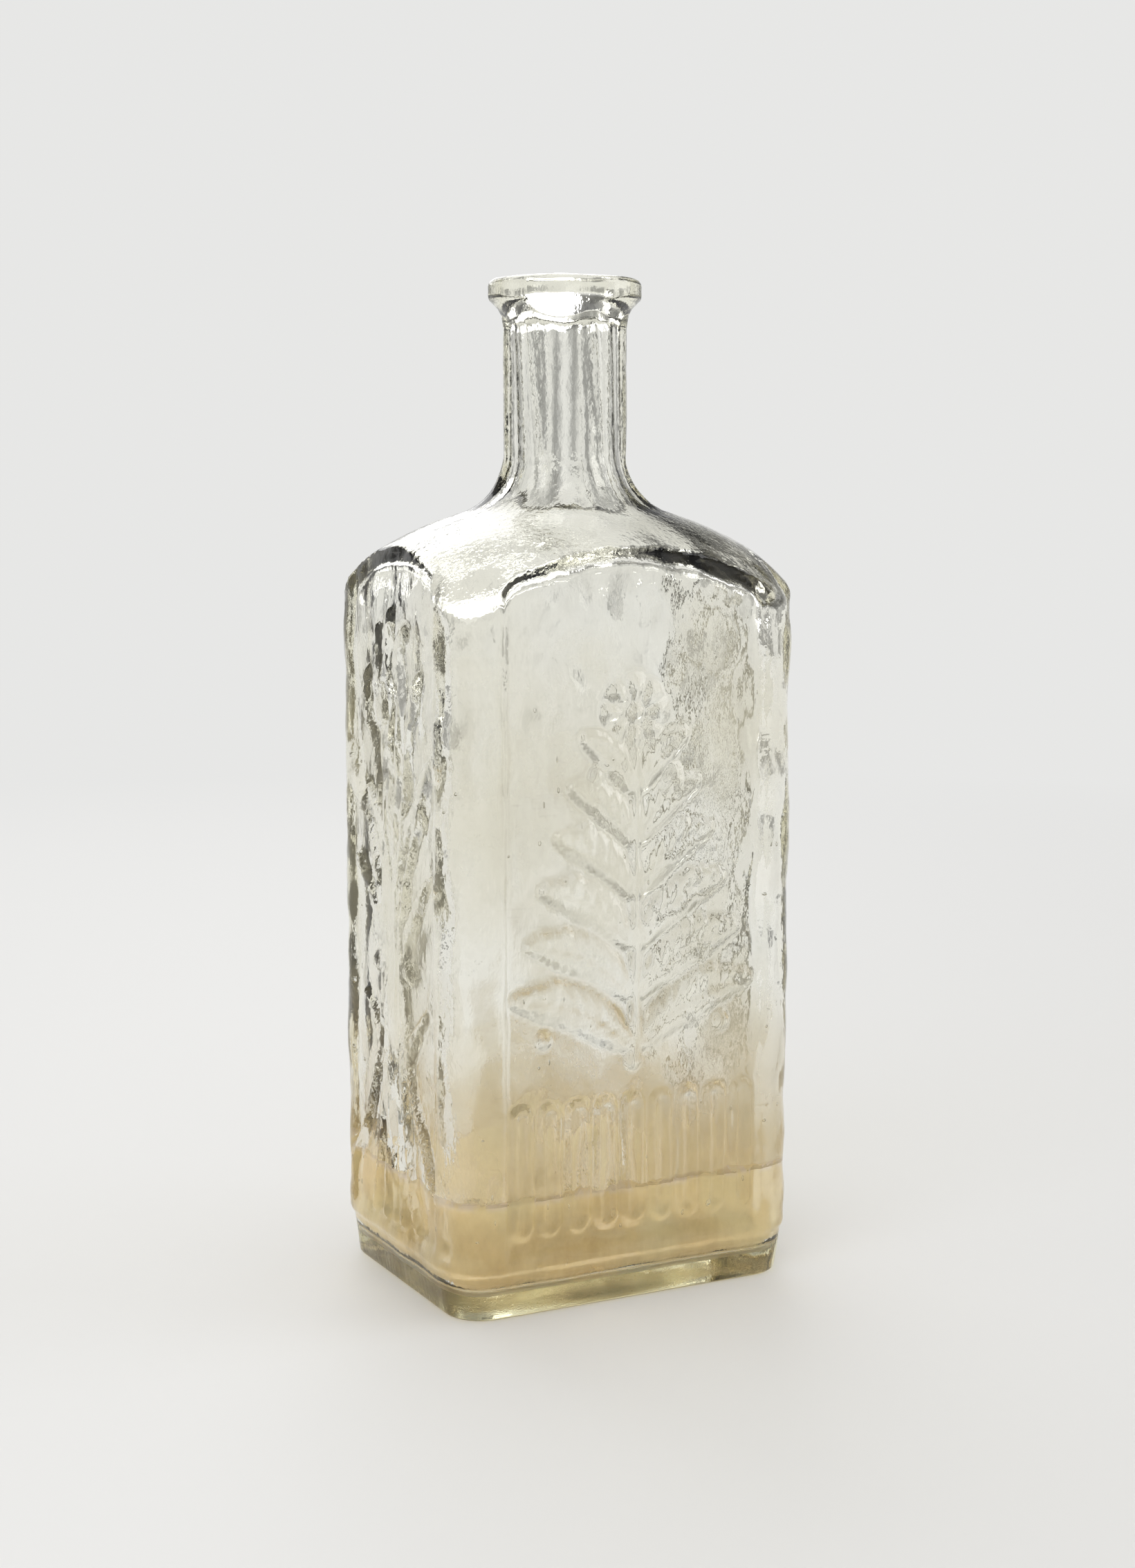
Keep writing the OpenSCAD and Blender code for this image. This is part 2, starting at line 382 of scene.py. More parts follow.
def waves(xyz, kind):
    """A smooth, even noise of this kind at each point, in millimetres."""
    height, (sx, sy, sz), number = kind
    seed = SEED + number
    shift = Vector((seed * 17.3, seed * 5.1, seed * 11.7))
    values = [noise.noise(Vector((x / sx, y / sy, z / sz)) + shift) for x, y, z in xyz]
    return height * np.array(values)


sample = waves(np.column_stack([FULL, np.full(RING, 100.0)]), DIMPLES)
print("dimples reach from", round(sample.min(), 2), "to", round(sample.max(), 2))

# %% [markdown]
# The flat panels are sunk, and the relief rises from them to the mould's own surface. What
# would stand out past it is rounded off, so the glass never grows out of the CAD's box.

# %% The outside's height over the mould
RELIEF_H, PANEL_SINK, PANEL_EDGE = 1.7, 1.35, 2.5
SKIN_SINK, SKIN_SOFT = 0.40, 0.12
NECK_SHARE, FOOT_SHARE, SHOULDER_SHARE = 0.3, 0.4, 0.6
FLAT_FROM, FLAT_TO = 0.965, 0.997
EASE_FROM, EASE_TO = FOOT_H + 0.5, FOOT_H + 5
PATTERNS = (
    ("front", front_relief, BODY_W / 2 - CORNER_R),
    ("left", side_relief, BODY_D / 2 - CORNER_R),
    ("right", side_relief, BODY_D / 2 - CORNER_R),
)


def free_push(xyz, z):
    """How far waves and relief push one level out, before anything is rounded off."""
    push = waves(xyz, DIMPLES) + waves(xyz, PITS)
    if z > ROOT_Z:
        return push * NECK_SHARE + waves(xyz, NECK_RINGS)
    if z < FOOT_H:
        return push * FOOT_SHARE * smooth(0, 2, z)
    flat = smooth(FLAT_FROM, FLAT_TO, np.hypot(*xyz[:, :2].T) / np.hypot(*FULL.T))
    if z > DOME_Z:
        push = push * (SHOULDER_SHARE + (1 - SHOULDER_SHARE) * flat)
        push = push + waves(xyz, SHOULDER_RIPPLES) * (1 - flat)
    ease = smooth(EASE_FROM, EASE_TO, z)
    for name, pattern, half in PATTERNS:
        on = FACE == name
        along = ALONG[on]
        edge = smooth(half, half - PANEL_EDGE, np.abs(along))
        raised = RELIEF_H * pattern(along, np.full(len(along), z)) - PANEL_SINK
        grain = 0 if name == "front" else waves(xyz[on], SIDE_GRAIN)
        push[on] += (raised * edge + grain) * ease * flat[on]
    return push * (0.5 + 0.5 * ease)


def outside_push(xyz, z):
    """The same, sunk a little and rounded off below the mould's surface."""
    push = free_push(xyz, z) - SKIN_SINK
    return 0.5 * (push - np.sqrt(push**2 + SKIN_SOFT**2))


def outward(xy, z):
    """Square to the faces on the body, turning to straight out from the axis at the neck."""
    radial = xy / np.hypot(*xy.T)[:, None]
    turn = smooth(DOME_Z + 4, ROOT_Z - 8, z)
    direction = NORMAL * (1 - turn) + radial * turn
    return direction / np.hypot(*direction.T)[:, None]


sample = outside_push(np.column_stack([FULL, np.full(RING, 80.0)]), 80.0)
print("at 80 mm the outside lies up to", round(-sample.min(), 2), "mm under the mould")

# %% [markdown]
# ## One closed shell
# The shell is a single sheet of quads. It starts under the base, climbs the outside, rolls
# over the lip, goes down the bore and spreads over the inside to the floor. Light bends
# rightly only if glass is a closed volume with one outside and one inside. A loose collar
# would leave a mirror where it meets the neck, so it is fused to the neck here, and the
# scalloped line where it meets the six flats is a crease in the sheet.

# %% Rings of the outside
DISH_SHARES = (0.25, 0.5, 0.75, 0.95, 1.0)
FOOT_LEVELS = [0.0, 0.15, 0.4, 0.7, 1.0, 2.5, 4, 5.5, 7, 8.2, 9.0, 9.5, 10.0, 10.5, 11.1, 12]
FOOT_END = 12
OUTSIDE_SPANS = (
    (12.9, DOME_Z, 0.92),
    (DOME_Z + 0.2, 160, 0.85),
    (160.4, ROOT_Z, 1.25),
    (ROOT_Z + 0.6, LIP_Z - 0.5, 1.7),
)


def span_levels(spans):
    """Heights from low up to high, or down to it, in even steps."""
    return [z for low, high, step in spans for z in np.arange(low, high, step)]


def lifted(xy, z):
    """The points of a level with its height as their third coordinate."""
    return np.column_stack([xy, np.full(RING, z)])


def outside_rings():
    """The dished underside, then every level from the foot to the neck."""
    rings = []
    for share in DISH_SHARES:
        xy = level(0, FOOT_IN + FOOT_BEVEL)
        reach = np.hypot(xy[:, 0], xy[:, 1])
        xy = xy * np.minimum(1, share * DISH_R / reach)[:, None]
        rings.append(lifted(xy, DISH_H * (1 - share**2)))
    for z in FOOT_LEVELS + span_levels(OUTSIDE_SPANS):
        xy = level(z, foot_inset(z) if z < FOOT_END else 0.0)
        xyz = lifted(xy, z)
        xyz[:, :2] += outward(xy, z) * outside_push(xyz, z)[:, None]
        rings.append(xyz)
    return rings


outside = outside_rings()
print("the outside has", len(outside), "rings")

# %% [markdown]
# The collar's section is a list of radii and heights. A little unevenness that goes round
# with the angle stands for the marks of the lipping tool.

# %% Rings of the lip
LIP_SINK, LIP_DROP = 0.12, 0.1
SEAM, SEAM_DROP, SEAM_CREASE = 0.3, 0.35, 0.05
CONE_SHARES, CONE_IN, CONE_UP = (0.3, 0.6, 0.85), 0.35, 0.15
TOOL_WAVES = ((0.08, 2, 1.0), (0.05, 5, 0.0))
TOOL_OUT, TOOL_UP = 0.8, 0.6
LIP_SECTION = (
    (LIP_R - 0.30, LIP_SIDE_Z - 0.25),
    (LIP_R - 0.08, LIP_SIDE_Z + 0.25),
    (LIP_R, LIP_SIDE_Z + 0.8),
    (LIP_R - 0.04, LIP_SIDE_Z + 1.7),
    (LIP_R, LIP_SIDE_Z + 2.6),
    (LIP_R - 0.10, LIP_SIDE_Z + 3.2),
    (LIP_R - 0.45, LIP_SIDE_Z + 3.8),
    (LIP_R - 1.1, LIP_SIDE_Z + 4.2),
    (LIP_R - 2.2, TOP_Z - 0.2),
    (LIP_R - 3.6, TOP_Z),
    (LIP_R - 5.0, TOP_Z - 0.15),
    (BORE_R + 0.9, TOP_Z - 0.5),
    (BORE_R + 0.25, TOP_Z - 1.1),
    (BORE_R, TOP_Z - 2.0),
)


def round_ring(radius, z):
    """A ring about the axis; radius and z may vary from point to point."""
    height = np.broadcast_to(z, RING)
    return np.column_stack([radius * np.cos(ANGLE), radius * np.sin(ANGLE), height])


def lip_rings():
    """The collar: a scalloped seam on the neck, a cone, an upright side and a crown."""
    neck = six_sided(ANGLE, LIP_Z)
    seam_z = LIP_Z + (neck - FLAT_R)
    rings = [round_ring(neck + SEAM_CREASE, seam_z - SEAM_DROP)]
    rings.append(round_ring(neck + SEAM, seam_z))
    for share in CONE_SHARES:
        radius = neck + (LIP_R - CONE_IN - neck) * share
        rings.append(round_ring(radius, LIP_Z + CONE_UP + radius - FLAT_R))
    tool = sum(height * np.sin(ANGLE * turns + start) for height, turns, start in TOOL_WAVES)
    for radius, z in LIP_SECTION:
        out, up = tool * TOOL_OUT - LIP_SINK, tool * TOOL_UP - LIP_DROP
        rings.append(round_ring(radius + out, z + up))
    return rings


lip = lip_rings()
print("the lip has", len(lip), "rings")

# %% [markdown]
# The inside goes down again: a straight round bore, the shoulder without its flats, the
# walls, and a rounded heel into the floor. It could be the outside made smaller, but a
# real inside has waves of its own, and the two together give the glass its uneven look.

# %% Rings of the inside
BORE_LEVELS = (211, 207, 203, 198, 193, 188, 184)
INSIDE_SPANS = (
    (ROOT_Z, 160, -1.6),
    (160, DOME_Z, -1.25),
    (DOME_Z - 0.3, FLOOR_Z + 3, -1.75),
)
HEEL_ANGLES = (15, 35, 60, 90)
BORE_UNEVEN = 0.03


def inside_level(z, extra=0.0):
    """The inside surface at height z, or a surface "extra" millimetres further in."""
    heel = HEEL * quarter_round((z - FLOOR_Z) / HEEL)
    xy = level(z, WALL + heel, NECK_R - BORE_R, flats=False)
    xyz = lifted(xy, z)
    amount = smooth(ROOT_Z, DOME_Z, z) * smooth(FLOOR_Z - 1, FLOOR_Z + 6, z)
    push = waves(xyz, INSIDE_SWELLS) + waves(xyz, INSIDE_DIMPLES)
    xyz[:, :2] += outward(xy, z) * (push * amount - extra)[:, None]
    return xyz


def inside_rings():
    """The bore, the shoulder, the walls, the heel and the lumpy floor."""
    rings = [round_ring(BORE_R + BORE_UNEVEN * math.sin(z), z) for z in BORE_LEVELS]
    heel = [FLOOR_Z + HEEL * (1 - math.sin(math.radians(a))) for a in HEEL_ANGLES]
    rings += [inside_level(z) for z in span_levels(INSIDE_SPANS) + heel]
    last = rings[-1]
    for share in (0.75, 0.5, 0.25):
        ring = last.copy()
        ring[:, :2] *= share
        ring[:, 2] += waves(ring, FLOOR_LUMPS)
        rings.append(ring)
    return rings


inside = inside_rings()
print("the inside has", len(inside), "rings")

# %% [markdown]
# ## From rings to pieces
# Rings that follow each other are joined by quads. A solid shape such as the shell is
# closed by a fan of triangles at each end. A skin has no ends: its last ring is joined
# back to its first.


# %% Faces and pieces
def sheet_faces(count):
    """Quads between rings that follow each other."""
    faces = []
    for j in range(count - 1):
        for i in range(RING):
            a, b = j * RING + i, j * RING + (i + 1) % RING
            faces.append((a, b, b + RING, a + RING))
    return faces


def fan_faces(count):
    """A fan at each end, about two extra points that come after the rings."""
    first, last, top = count * RING, count * RING + 1, (count - 1) * RING
    faces = []
    for i in range(RING):
        faces.append((first, (i + 1) % RING, i))
        faces.append((last, top + i, top + (i + 1) % RING))
    return faces


def loop_faces(count):
    """Quads from the last ring back to the first."""
    top = (count - 1) * RING
    return [(top + i, top + (i + 1) % RING, (i + 1) % RING, i) for i in range(RING)]


def link_piece(name, mesh, nodes=()):
    """Puts a mesh into the scene as a piece that rides on the bottle."""
    piece = bpy.data.objects.new(name, mesh)
    bpy.context.collection.objects.link(piece)
    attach(piece, "root")
    if nodes:
        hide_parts(*nodes)
    print(name, "has", len(mesh.polygons), "faces")


def add_piece(name, points, faces, material, slot, nodes=()):
    """A smooth piece from points in millimetres."""
    mesh = bpy.data.meshes.new(name)
    mesh.from_pydata((points * MM).tolist(), [], faces)
    mesh.polygons.foreach_set("use_smooth", [True] * len(mesh.polygons))
    mesh.materials.append(material)
    mesh.update()
    link_piece(name, mesh, nodes)


def add_solid(name, rings, *rest):
    """A closed solid through rings, from the middle of the first to that of the last."""
    ends = np.array([rings[0].mean(axis=0), rings[-1].mean(axis=0)])
    faces = sheet_faces(len(rings)) + fan_faces(len(rings))
    add_piece(name, np.vstack(rings + [ends]), faces, *rest)


def add_skin(name, rings, *rest):
    """A closed skin through rings that come back to where they started."""
    faces = sheet_faces(len(rings)) + loop_faces(len(rings))
    add_piece(name, np.vstack(rings), faces, *rest)


# %% [markdown]
# ## Materials
# Clear glass needs three things: a refractive index, a faint straw colour that deepens
# with thickness, and small flaws. One node group gives the flaws to every material here.
# It puts out a mask of soft blotches and a finer height for bumps. Each material only says
# how large they are, and uses them for its own roughness, colour and bumps.


# %% A shared group of surface flaws
FINE_TIMES = 6.0


def maths(tree, operation, first, second):
    """A Math node; second may be a socket or a number."""
    node = tree.nodes.new("ShaderNodeMath")
    node.operation = operation
    tree.links.new(first, node.inputs[0])
    if isinstance(second, (int, float)):
        node.inputs[1].default_value = second
    else:
        tree.links.new(second, node.inputs[1])
    return node.outputs[0]


def build_flaws():
    """Object coordinates, stretched along Z, through a coarse and a fine noise."""
    group = bpy.data.node_groups.new("old_surface", "ShaderNodeTree")
    for name in ("Scale", "Stretch", "Detail"):
        group.interface.new_socket(name, in_out="INPUT", socket_type="NodeSocketFloat")
    for name in ("Mask", "Height"):
        group.interface.new_socket(name, in_out="OUTPUT", socket_type="NodeSocketFloat")
    nodes, links = group.nodes, group.links
    entry, leave = nodes.new("NodeGroupInput"), nodes.new("NodeGroupOutput")
    place = nodes.new("ShaderNodeTexCoord")
    combine = nodes.new("ShaderNodeCombineXYZ")
    combine.inputs["X"].default_value = 1.0
    combine.inputs["Y"].default_value = 1.0
    links.new(entry.outputs["Stretch"], combine.inputs["Z"])
    stretch = nodes.new("ShaderNodeVectorMath")
    stretch.operation = "MULTIPLY"
    links.new(place.outputs["Object"], stretch.inputs[0])
    links.new(combine.outputs[0], stretch.inputs[1])
    coarse = entry.outputs["Scale"]
    fine = maths(group, "MULTIPLY", coarse, FINE_TIMES)
    for name, scale in (("Mask", coarse), ("Height", fine)):
        texture = nodes.new("ShaderNodeTexNoise")
        links.new(stretch.outputs[0], texture.inputs["Vector"])
        links.new(scale, texture.inputs["Scale"])
        links.new(entry.outputs["Detail"], texture.inputs["Detail"])
        links.new(texture.outputs["Fac"], leave.inputs[name])
    return group


FLAWS = build_flaws()
print("the group has", len(FLAWS.nodes), "nodes")


# %% Small helpers for materials
COLOUR_A, COLOUR_B, COLOUR_OUT = 6, 7, 2


def new_material(name):
    """A material, its node tree and its Principled shader."""
    material = bpy.data.materials.new(name)
    material.use_nodes = True
    return material, material.node_tree, material.node_tree.nodes["Principled BSDF"]


def add_flaws(tree, scale, stretch, detail):
    """The shared group, placed in a material: its mask and its height."""
    node = tree.nodes.new("ShaderNodeGroup")
    node.node_tree = FLAWS
    node.inputs["Scale"].default_value = scale
    node.inputs["Stretch"].default_value = stretch
    node.inputs["Detail"].default_value = detail
    return node.outputs["Mask"], node.outputs["Height"]


def remap(tree, source, old, new):
    """A Map Range node from one stretch of values to another."""
    node = tree.nodes.new("ShaderNodeMapRange")
    node.inputs["From Min"].default_value = old[0]
    node.inputs["From Max"].default_value = old[1]
    node.inputs["To Min"].default_value = new[0]
    node.inputs["To Max"].default_value = new[1]
    tree.links.new(source, node.inputs["Value"])
    return node.outputs["Result"]


def bump(tree, height, distance, strength):
    """A Bump node; distance is in metres."""
    node = tree.nodes.new("ShaderNodeBump")
    node.inputs["Distance"].default_value = distance
    node.inputs["Strength"].default_value = strength
    tree.links.new(height, node.inputs["Height"])
    return node.outputs["Normal"]


def height_share(tree, low, high):
    """From zero to one between two heights in metres."""
    place = tree.nodes.new("ShaderNodeTexCoord")
    split = tree.nodes.new("ShaderNodeSeparateXYZ")
    tree.links.new(place.outputs["Object"], split.inputs[0])
    return remap(tree, split.outputs["Z"], (low, high), (0.0, 1.0))


def mix_colour(tree, share, first, second):
    """From the first colour, which is a socket, to the second, which is plain."""
    mix = tree.nodes.new("ShaderNodeMix")
    mix.data_type = "RGBA"
    tree.links.new(share, mix.inputs["Factor"])
    tree.links.new(first, mix.inputs[COLOUR_A])
    mix.inputs[COLOUR_B].default_value = (*second, 1)
    return mix.outputs[COLOUR_OUT]


def mix_shaders(tree, share, first, second, output):
    """The first shader where share is zero, the second where it is one."""
    mix = tree.nodes.new("ShaderNodeMixShader")
    tree.links.new(share, mix.inputs["Fac"])
    tree.links.new(first.outputs[0], mix.inputs[1])
    tree.links.new(second.outputs[0], mix.inputs[2])
    tree.links.new(mix.outputs[0], tree.nodes[output].inputs["Surface"])


# %% [markdown]
# ### Glass
# The straw colour is an absorption inside the volume, so thick edges turn yellow and thin
# walls stay clear. Rays from the lamps pass straight through, because the renderer would
# otherwise lose most light behind glass and leave the foot and the residue dark.

# %% Clear glass
GLASS_IOR = 1.51
STRAW, STRAW_DENSITY = (0.97, 0.93, 0.60, 1), 18.0
LAMP_TINT = (0.95, 0.94, 0.90, 1)


def glass_material():
    """Glass for rays that are seen, and a faint tint for rays from the lamps."""
    material, tree, shader = new_material("clear_glass")
    shader.inputs["Base Color"].default_value = (0.985, 0.985, 0.965, 1)
    shader.inputs["Transmission Weight"].default_value = 1.0
    shader.inputs["IOR"].default_value = GLASS_IOR
    mask, height = add_flaws(tree, scale=130.0, stretch=0.6, detail=2.0)
    rough = remap(tree, mask, (0.50, 0.75), (0.0, 0.05))
    normal = bump(tree, height, distance=0.00025, strength=0.35)
    tree.links.new(rough, shader.inputs["Roughness"])
    tree.links.new(normal, shader.inputs["Normal"])
    volume = tree.nodes.new("ShaderNodeVolumeAbsorption")
    volume.inputs["Color"].default_value = STRAW
    volume.inputs["Density"].default_value = STRAW_DENSITY
    tree.links.new(volume.outputs[0], tree.nodes["Material Output"].inputs["Volume"])
    clear = tree.nodes.new("ShaderNodeBsdfTransparent")
    clear.inputs["Color"].default_value = LAMP_TINT
    path = tree.nodes.new("ShaderNodeLightPath")
    mix_shaders(tree, path.outputs["Is Shadow Ray"], shader, clear, "Material Output")
    return material


# %% Build the glass
GLASS = glass_material()
shell = outside + lip + inside
add_solid("bottle_glass", shell, GLASS, "clear_glass", ("glass_body", "lip_collar"))

# %% [markdown]
# ## What the drink left behind
# The last of the bitters dried on the walls as an amber film with a ragged tide line, a
# paler crust on the floor and a faint brown stain above. Paint on the glass itself would
# not do, because the glass is clear and its inside is one surface with its outside. So
# each is a thin closed skin that follows the wavy inside, with see-through patches where
# it has worn thin. Each is sunk a little into the glass, because dried syrup sticks to
# it: with an air gap, the glass would mirror at its inside face and hide the colour.

# %% Residue materials
RIM, GREY = (0.95, 0.84, 0.78), (0.72, 0.68, 0.56)
SYRUP_IOR, SYRUP_SHINE = 1.1, 0.25
BLOTCH = (0.36, 0.64)
STAIN_TOP, STAIN_FULL = 160.0, 110.0


def patchy_colour(tree, mask, dark, light):
    """Two colours in soft blotches."""
    ramp = tree.nodes.new("ShaderNodeValToRGB")
    for element, place, colour in zip(ramp.color_ramp.elements, BLOTCH, (dark, light)):
        element.position = place
        element.color = (*colour, 1)
    tree.links.new(mask, ramp.inputs["Fac"])
    return ramp.outputs["Color"]


def residue_material(name, dark, light, scale, alphas, clear, rim=None, fade=None):
    """Patchy residue; rim and fade are the heights, in metres, of a pale edge and of grey."""
    material, tree, shader = new_material(name)
    shader.inputs["Specular IOR Level"].default_value = SYRUP_SHINE
    shader.inputs["Transmission Weight"].default_value = clear
    shader.inputs["IOR"].default_value = SYRUP_IOR
    mask, height = add_flaws(tree, scale, stretch=0.6, detail=6.0)
    colour = patchy_colour(tree, mask, dark, light)
    alpha = remap(tree, mask, BLOTCH, alphas)
    if rim:
        dashes = remap(tree, height, (0.46, 0.54), (0.0, 0.8))
        dashes = maths(tree, "MULTIPLY", height_share(tree, *rim), dashes)
        colour = mix_colour(tree, dashes, colour, RIM)
    if fade:
        grey_share = height_share(tree, *fade)
        colour = mix_colour(tree, grey_share, colour, GREY)
        fainter = remap(tree, grey_share, (0.0, 1.0), (1.0, 0.45))
        alpha = maths(tree, "MULTIPLY", alpha, fainter)
        top_fade = height_share(tree, STAIN_TOP * MM, STAIN_FULL * MM)
        alpha = maths(tree, "MULTIPLY", alpha, top_fade)
    rough = remap(tree, height, (0.3, 0.7), (0.5, 0.85))
    normal = bump(tree, height, distance=0.0004, strength=0.5)
    tree.links.new(colour, shader.inputs["Base Color"])
    tree.links.new(alpha, shader.inputs["Alpha"])
    tree.links.new(rough, shader.inputs["Roughness"])
    tree.links.new(normal, shader.inputs["Normal"])
    return material


# %% Three kinds of residue
FILM = residue_material(
    "amber_film",
    (0.88, 0.62, 0.26),
    (1.0, 0.88, 0.58),
    scale=48.0,
    alphas=(0.25, 0.85),
    clear=0.6,
    rim=(0.0228, 0.0242),
)
STAIN = residue_material(
    "brown_stain",
    (0.60, 0.42, 0.18),
    (0.84, 0.70, 0.44),
    scale=30.0,
    alphas=(-0.05, 0.62),
    clear=0.3,
    fade=(0.028, 0.066),
)
CRUST = residue_material(
    "pale_crust",
    (0.94, 0.76, 0.44),
    (1.0, 0.95, 0.76),
    scale=70.0,
    alphas=(0.7, 1.0),
    clear=0.85,
)
print("residue:", FILM.name, STAIN.name, CRUST.name)

# %% Rings of the skins and the crust
FILM_SUNK, FILM_T, STAIN_T = 0.10, 0.45, 0.12
SKIN_STEP, SKIN_STEPS_MIN = 1.6, 6
CRUST_T, CRUST_SUNK, CRUST_GAP = 1.0, 0.35, 0.1
RAG_LENGTHS, RAG_NUMBER = (5, 5, 5), 9


def skin_rings(low, high, ragged, thick):
    """A closed skin on the inside wall: up its outer side and down its inner side."""
    rise = waves(inside_level(high), (ragged, RAG_LENGTHS, RAG_NUMBER))
    steps = max(SKIN_STEPS_MIN, int((high - low) / SKIN_STEP))
    outer, inner = [], []
    for step in np.linspace(0, 1, steps):
        for side, extra in ((outer, -FILM_SUNK), (inner, thick - FILM_SUNK)):
            ring = inside_level(low + (high - low) * step, extra)
            ring[:, 2] += rise * step
            side.append(ring)
    return outer + inner[::-1]


def crust_rings():
    """The floor's crust: a low slab with a lumpy top, as wide as the inside."""
    rings = []
    for share in (0.3, 0.7, 1.0):
        ring = inside_level(FLOOR_Z + CRUST_SUNK, CRUST_GAP)
        ring[:, :2] *= share
        ring[:, 2] = FLOOR_Z - CRUST_SUNK
        rings.append(ring)
    high = FLOOR_Z + CRUST_T
    edge = inside_level(high, CRUST_GAP)
    for share in (1.0, 0.9, 0.75, 0.6, 0.45, 0.3, 0.15):
        ring = edge.copy()
        ring[:, :2] *= share
        ring[:, 2] = high + waves(ring, CRUST_LUMPS)
        rings.append(ring)
    return rings


# %% Build the residue
film_rings = skin_rings(FLOOR_Z + 1.0, TIDE_Z, 1.4, FILM_T)
add_skin("amber_ring", film_rings, FILM, "amber_film", ("wall_film",))
add_skin("brown_stain", skin_rings(TIDE_Z - 1, STAIN_TOP, 0.5, STAIN_T), STAIN, "amber_film")
add_solid("floor_crust", crust_rings(), CRUST, "pale_sediment", ("floor_sediment",))

# %% [markdown]
# ## Seeds in the glass
# Old glass holds small air bubbles, which makers call seeds. They could be modelled one by
# one, but they repeat, so Geometry Nodes scatter them: points on a sheet in the middle of
# the wall, a small ball on each, turned into real mesh at the end. A bubble is air inside
# glass, so its index is one over the glass's.


# %% Bubble material
def bubble_material():
    """Air seen from inside the glass."""
    material, _, shader = new_material("air_bubble")
    shader.inputs["Base Color"].default_value = (1, 1, 1, 1)
    shader.inputs["Transmission Weight"].default_value = 1.0
    shader.inputs["IOR"].default_value = 1 / GLASS_IOR
    shader.inputs["Roughness"].default_value = 0.0
    return material


# %% Scattering tree
SEED_SMALL, SEED_LARGE = (0.35, 0.35, 0.5), (1.0, 1.0, 1.9)
TREE_INPUTS = {"Geometry": "Geometry", "Density": "Float", "Radius": "Float", "Seed": "Int"}


def scatter_tree(material):
    """Balls on a surface: inputs for how many per square metre, the size and the seed."""
    tree = bpy.data.node_groups.new("scatter_seeds", "GeometryNodeTree")
    for name, kind in TREE_INPUTS.items():
        tree.interface.new_socket(name, in_out="INPUT", socket_type="NodeSocket" + kind)
    tree.interface.new_socket("Geometry", in_out="OUTPUT", socket_type="NodeSocketGeometry")
    nodes, links = tree.nodes, tree.links
    entry, leave = nodes.new("NodeGroupInput"), nodes.new("NodeGroupOutput")
    points = nodes.new("GeometryNodeDistributePointsOnFaces")
    links.new(entry.outputs["Geometry"], points.inputs["Mesh"])
    links.new(entry.outputs["Density"], points.inputs["Density"])
    links.new(entry.outputs["Seed"], points.inputs["Seed"])
    ball = nodes.new("GeometryNodeMeshIcoSphere")
    ball.inputs["Subdivisions"].default_value = 2
    links.new(entry.outputs["Radius"], ball.inputs["Radius"])
    size = nodes.new("FunctionNodeRandomValue")
    size.data_type = "FLOAT_VECTOR"
    size.inputs["Min"].default_value = SEED_SMALL
    size.inputs["Max"].default_value = SEED_LARGE
    links.new(entry.outputs["Seed"], size.inputs["Seed"])
    place = nodes.new("GeometryNodeInstanceOnPoints")
    links.new(points.outputs["Points"], place.inputs["Points"])
    links.new(ball.outputs["Mesh"], place.inputs["Instance"])
    links.new(size.outputs["Value"], place.inputs["Scale"])
    real = nodes.new("GeometryNodeRealizeInstances")
    links.new(place.outputs["Instances"], real.inputs["Geometry"])
    shade = nodes.new("GeometryNodeSetShadeSmooth")
    links.new(real.outputs["Geometry"], shade.inputs["Geometry"])
    paint = nodes.new("GeometryNodeSetMaterial")
    paint.inputs["Material"].default_value = material
    links.new(shade.outputs["Geometry"], paint.inputs["Geometry"])
    links.new(paint.outputs["Geometry"], leave.inputs[0])
    return tree


def set_input(modifier, name, value):
    """Sets one of the tree's inputs by its name."""
    for item in modifier.node_group.interface.items_tree:
        if item.in_out == "INPUT" and item.name == name:
            modifier[item.identifier] = value


# %% Scatter the seeds in the middle of the wall
SEED_DEPTH, SEED_LEVELS = 2.95, (16.0, 50.0, 90.0, 130.0)
SEEDS = {"Density": 5200.0, "Radius": 0.0004, "Seed": SEED}


def seed_mesh(material):
    """The scattered balls as plain mesh; the sheet they lay on is thrown away."""
    rings = [lifted(level(z, SEED_DEPTH), z) for z in SEED_LEVELS]
    mesh = bpy.data.meshes.new("seed_sheet")
    mesh.from_pydata((np.vstack(rings) * MM).tolist(), [], sheet_faces(len(rings)))
    sheet = bpy.data.objects.new("seed_sheet", mesh)
    bpy.context.collection.objects.link(sheet)
    modifier = sheet.modifiers.new("scatter", "NODES")
    modifier.node_group = scatter_tree(material)
    for name, value in SEEDS.items():
        set_input(modifier, name, value)
    ready = sheet.evaluated_get(bpy.context.evaluated_depsgraph_get())
    balls = bpy.data.meshes.new_from_object(ready)
    balls.name = "glass_seeds"
    bpy.data.objects.remove(sheet)
    return balls


link_piece("glass_seeds", seed_mesh(bubble_material()))

# %% [markdown]
# ## The studio
# A pale floor, a pale surround and three soft lamps. Clear glass shows only what is round
# it, and in an even white room it would all but vanish. So the camera finds a plain pale
# backdrop, while rays that the glass reflects or bends also find soft darker strips and a
# darker band above them, like a photographer's black cards. They draw the edges and the
# relief. The light that falls on the bottle stays at a plain level.

# %% Rays that see the surround
PALE = (0.80, 0.80, 0.79)


def seen_rays(tree):
    """One for camera, glossy and transmitted rays: what the eye and the glass see."""
    path = tree.nodes.new("ShaderNodeLightPath")
    seen = path.outputs["Is Camera Ray"]
    for name in ("Is Glossy Ray", "Is Transmission Ray"):
        seen = maths(tree, "MAXIMUM", seen, path.outputs[name])
    return seen


# %% Floor
FLOOR_R, FLOOR_DROP = 4.0, 0.0002
FLOOR_NEAR, FLOOR_FAR = 0.25, 0.9


